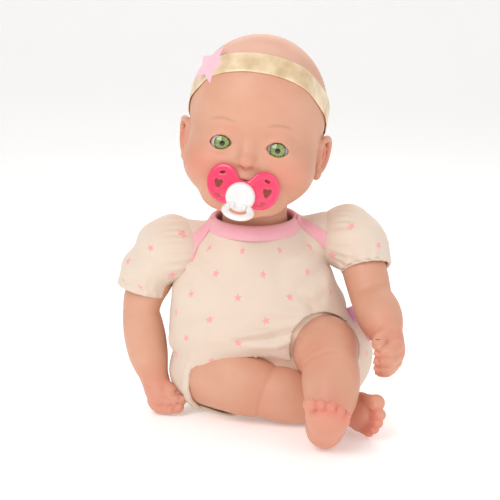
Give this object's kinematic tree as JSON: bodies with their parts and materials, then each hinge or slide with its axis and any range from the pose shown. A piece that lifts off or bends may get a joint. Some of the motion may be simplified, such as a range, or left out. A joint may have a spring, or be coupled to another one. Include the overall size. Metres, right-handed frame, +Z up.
{
  "type": "baby doll",
  "caption": "Seated soft-bodied baby doll with vinyl head, arms and legs, star-print bodysuit, headband, pull-out pacifier and a sound box in the chest.",
  "frame": {"origin": "centre of the flat seat face under the bodysuit", "axes": "+X towards the doll's left, -Y towards its front, +Z up"},
  "size_m": [0.1763, 0.1669, 0.2389],
  "materials": {
    "skin_vinyl": "soft matte vinyl with blushed cheeks, hands and feet",
    "suit_jersey": "cream cotton jersey printed with small pink stars",
    "pink_rib": "pink rib binding",
    "pink_satin": "folded satin label",
    "body_cloth": "flesh-coloured woven cotton",
    "fibre_filling": "white polyester fibre",
    "eye_gloss": "glossy domed acrylic",
    "gold_satin": "pale gold satin ribbon",
    "pink_felt": "pink felt",
    "hot_pink_plastic": "glossy moulded plastic",
    "white_plastic": "glossy moulded plastic",
    "grey_plastic": "moulded plastic",
    "nylon": "natural nylon",
    "circuit_board": "green solder mask",
    "battery_wrap": "printed sleeve without marks",
    "steel": "bright plated steel"
  },
  "bodies": {
    "torso": {"bodysuit": "suit_jersey", "neckline_binding": "pink_rib", "side_label": "pink_satin", "body_cover": "body_cloth", "body_filling": "fibre_filling", "seat_pellet_bag": "body_cloth", "pocket_flap": "body_cloth", "hook_and_loop_strip": "nylon", "crotch_snap_1": "grey_plastic", "crotch_snap_2": "grey_plastic", "crotch_snap_3": "grey_plastic", "sound_box_front": "grey_plastic", "sound_box_back": "grey_plastic", "battery_door": "grey_plastic", "battery_door_screw": "steel", "battery_1": "battery_wrap", "battery_2": "battery_wrap", "battery_3": "battery_wrap", "battery_contact_right": "steel", "battery_contact_left": "steel", "circuit_board": "circuit_board", "speaker": "grey_plastic"},
    "belly_button": {"belly_button": "hot_pink_plastic"},
    "power_switch": {"power_switch": "hot_pink_plastic"},
    "neck": {"neck_plug": "body_cloth", "neck_tie": "nylon"},
    "head": {"head_shell": "skin_vinyl", "right_eye": "eye_gloss", "right_eye_cup": "grey_plastic", "left_eye": "eye_gloss", "left_eye_cup": "grey_plastic", "mouth_socket": "grey_plastic"},
    "headband": {"headband": "gold_satin", "headband_star": "pink_felt"},
    "pacifier": {"pacifier_shield": "hot_pink_plastic", "pacifier_knob": "white_plastic", "pacifier_teat": "white_plastic"},
    "pacifier_ring": {"pacifier_ring": "white_plastic"},
    "right_upper_arm": {"right_upper_arm_cloth": "body_cloth", "right_arm_tie": "nylon", "right_sleeve": "suit_jersey"},
    "right_arm": {"right_arm": "skin_vinyl"},
    "left_upper_arm": {"left_upper_arm_cloth": "body_cloth", "left_arm_tie": "nylon", "left_sleeve": "suit_jersey"},
    "left_arm": {"left_arm": "skin_vinyl"},
    "right_leg": {"right_leg": "skin_vinyl", "right_thigh_cloth": "body_cloth", "right_leg_binding": "pink_rib"},
    "left_leg": {"left_leg": "skin_vinyl", "left_thigh_cloth": "body_cloth", "left_leg_binding": "pink_rib"}
  },
  "joints": [
    {"name": "head_turn", "type": "hinge", "parent": "torso", "child": "neck", "pos_m": [-0.005, 0.002, 0.119], "axis": [0, 0, 1], "range_deg": [-40, 40]},
    {"name": "head_nod", "type": "hinge", "parent": "neck", "child": "head", "pos_m": [-0.005, 0.002, 0.119], "axis": [1, 0, 0], "range_deg": [-12, 12]},
    {"name": "headband_pull", "type": "slide", "parent": "head", "child": "headband", "axis": [0.1559, 0.6181, 0.7705], "range_m": [0, 0.04]},
    {"name": "pacifier_pull", "type": "slide", "parent": "head", "child": "pacifier", "axis": [-0.0802, -0.9954, 0.0519], "range_m": [0, 0.03]},
    {"name": "ring_swing", "type": "hinge", "parent": "pacifier", "child": "pacifier_ring", "pos_m": [-0.01442, -0.05707, 0.14138], "axis": [0.9877, -0.0864, -0.1305], "range_deg": [-45, 0]},
    {"name": "right_shoulder_raise", "type": "hinge", "parent": "torso", "child": "right_upper_arm", "pos_m": [-0.056, 0.001, 0.103], "axis": [0, 1, 0], "range_deg": [0, 70]},
    {"name": "right_arm_twist", "type": "hinge", "parent": "right_upper_arm", "child": "right_arm", "pos_m": [-0.056, 0.001, 0.103], "axis": [-0.3948, -0.0367, -0.9181], "range_deg": [0, 45]},
    {"name": "left_shoulder_raise", "type": "hinge", "parent": "torso", "child": "left_upper_arm", "pos_m": [0.0535, 0.001, 0.111], "axis": [-1, 0, 0], "range_deg": [0, 36]},
    {"name": "left_arm_twist", "type": "hinge", "parent": "left_upper_arm", "child": "left_arm", "pos_m": [0.0535, 0.001, 0.111], "axis": [0.2534, -0.4847, -0.8372], "range_deg": [-20, 20]},
    {"name": "right_leg_roll", "type": "hinge", "parent": "torso", "child": "right_leg", "pos_m": [-0.037, -0.009, 0.0245], "axis": [-0.9128, 0.3896, 0.1225], "range_deg": [0, 7]},
    {"name": "left_leg_lift", "type": "hinge", "parent": "torso", "child": "left_leg", "pos_m": [0.038, -0.012, 0.04], "axis": [-1, 0, 0], "range_deg": [0, 20]},
    {"name": "belly_button_press", "type": "slide", "parent": "torso", "child": "belly_button", "axis": [0, 1, 0], "range_m": [0, 0.0025], "stiffness_N_per_m": 400},
    {"name": "power_switch_slide", "type": "slide", "parent": "torso", "child": "power_switch", "axis": [1, 0, 0], "range_m": [0, 0.003]}
  ]
}
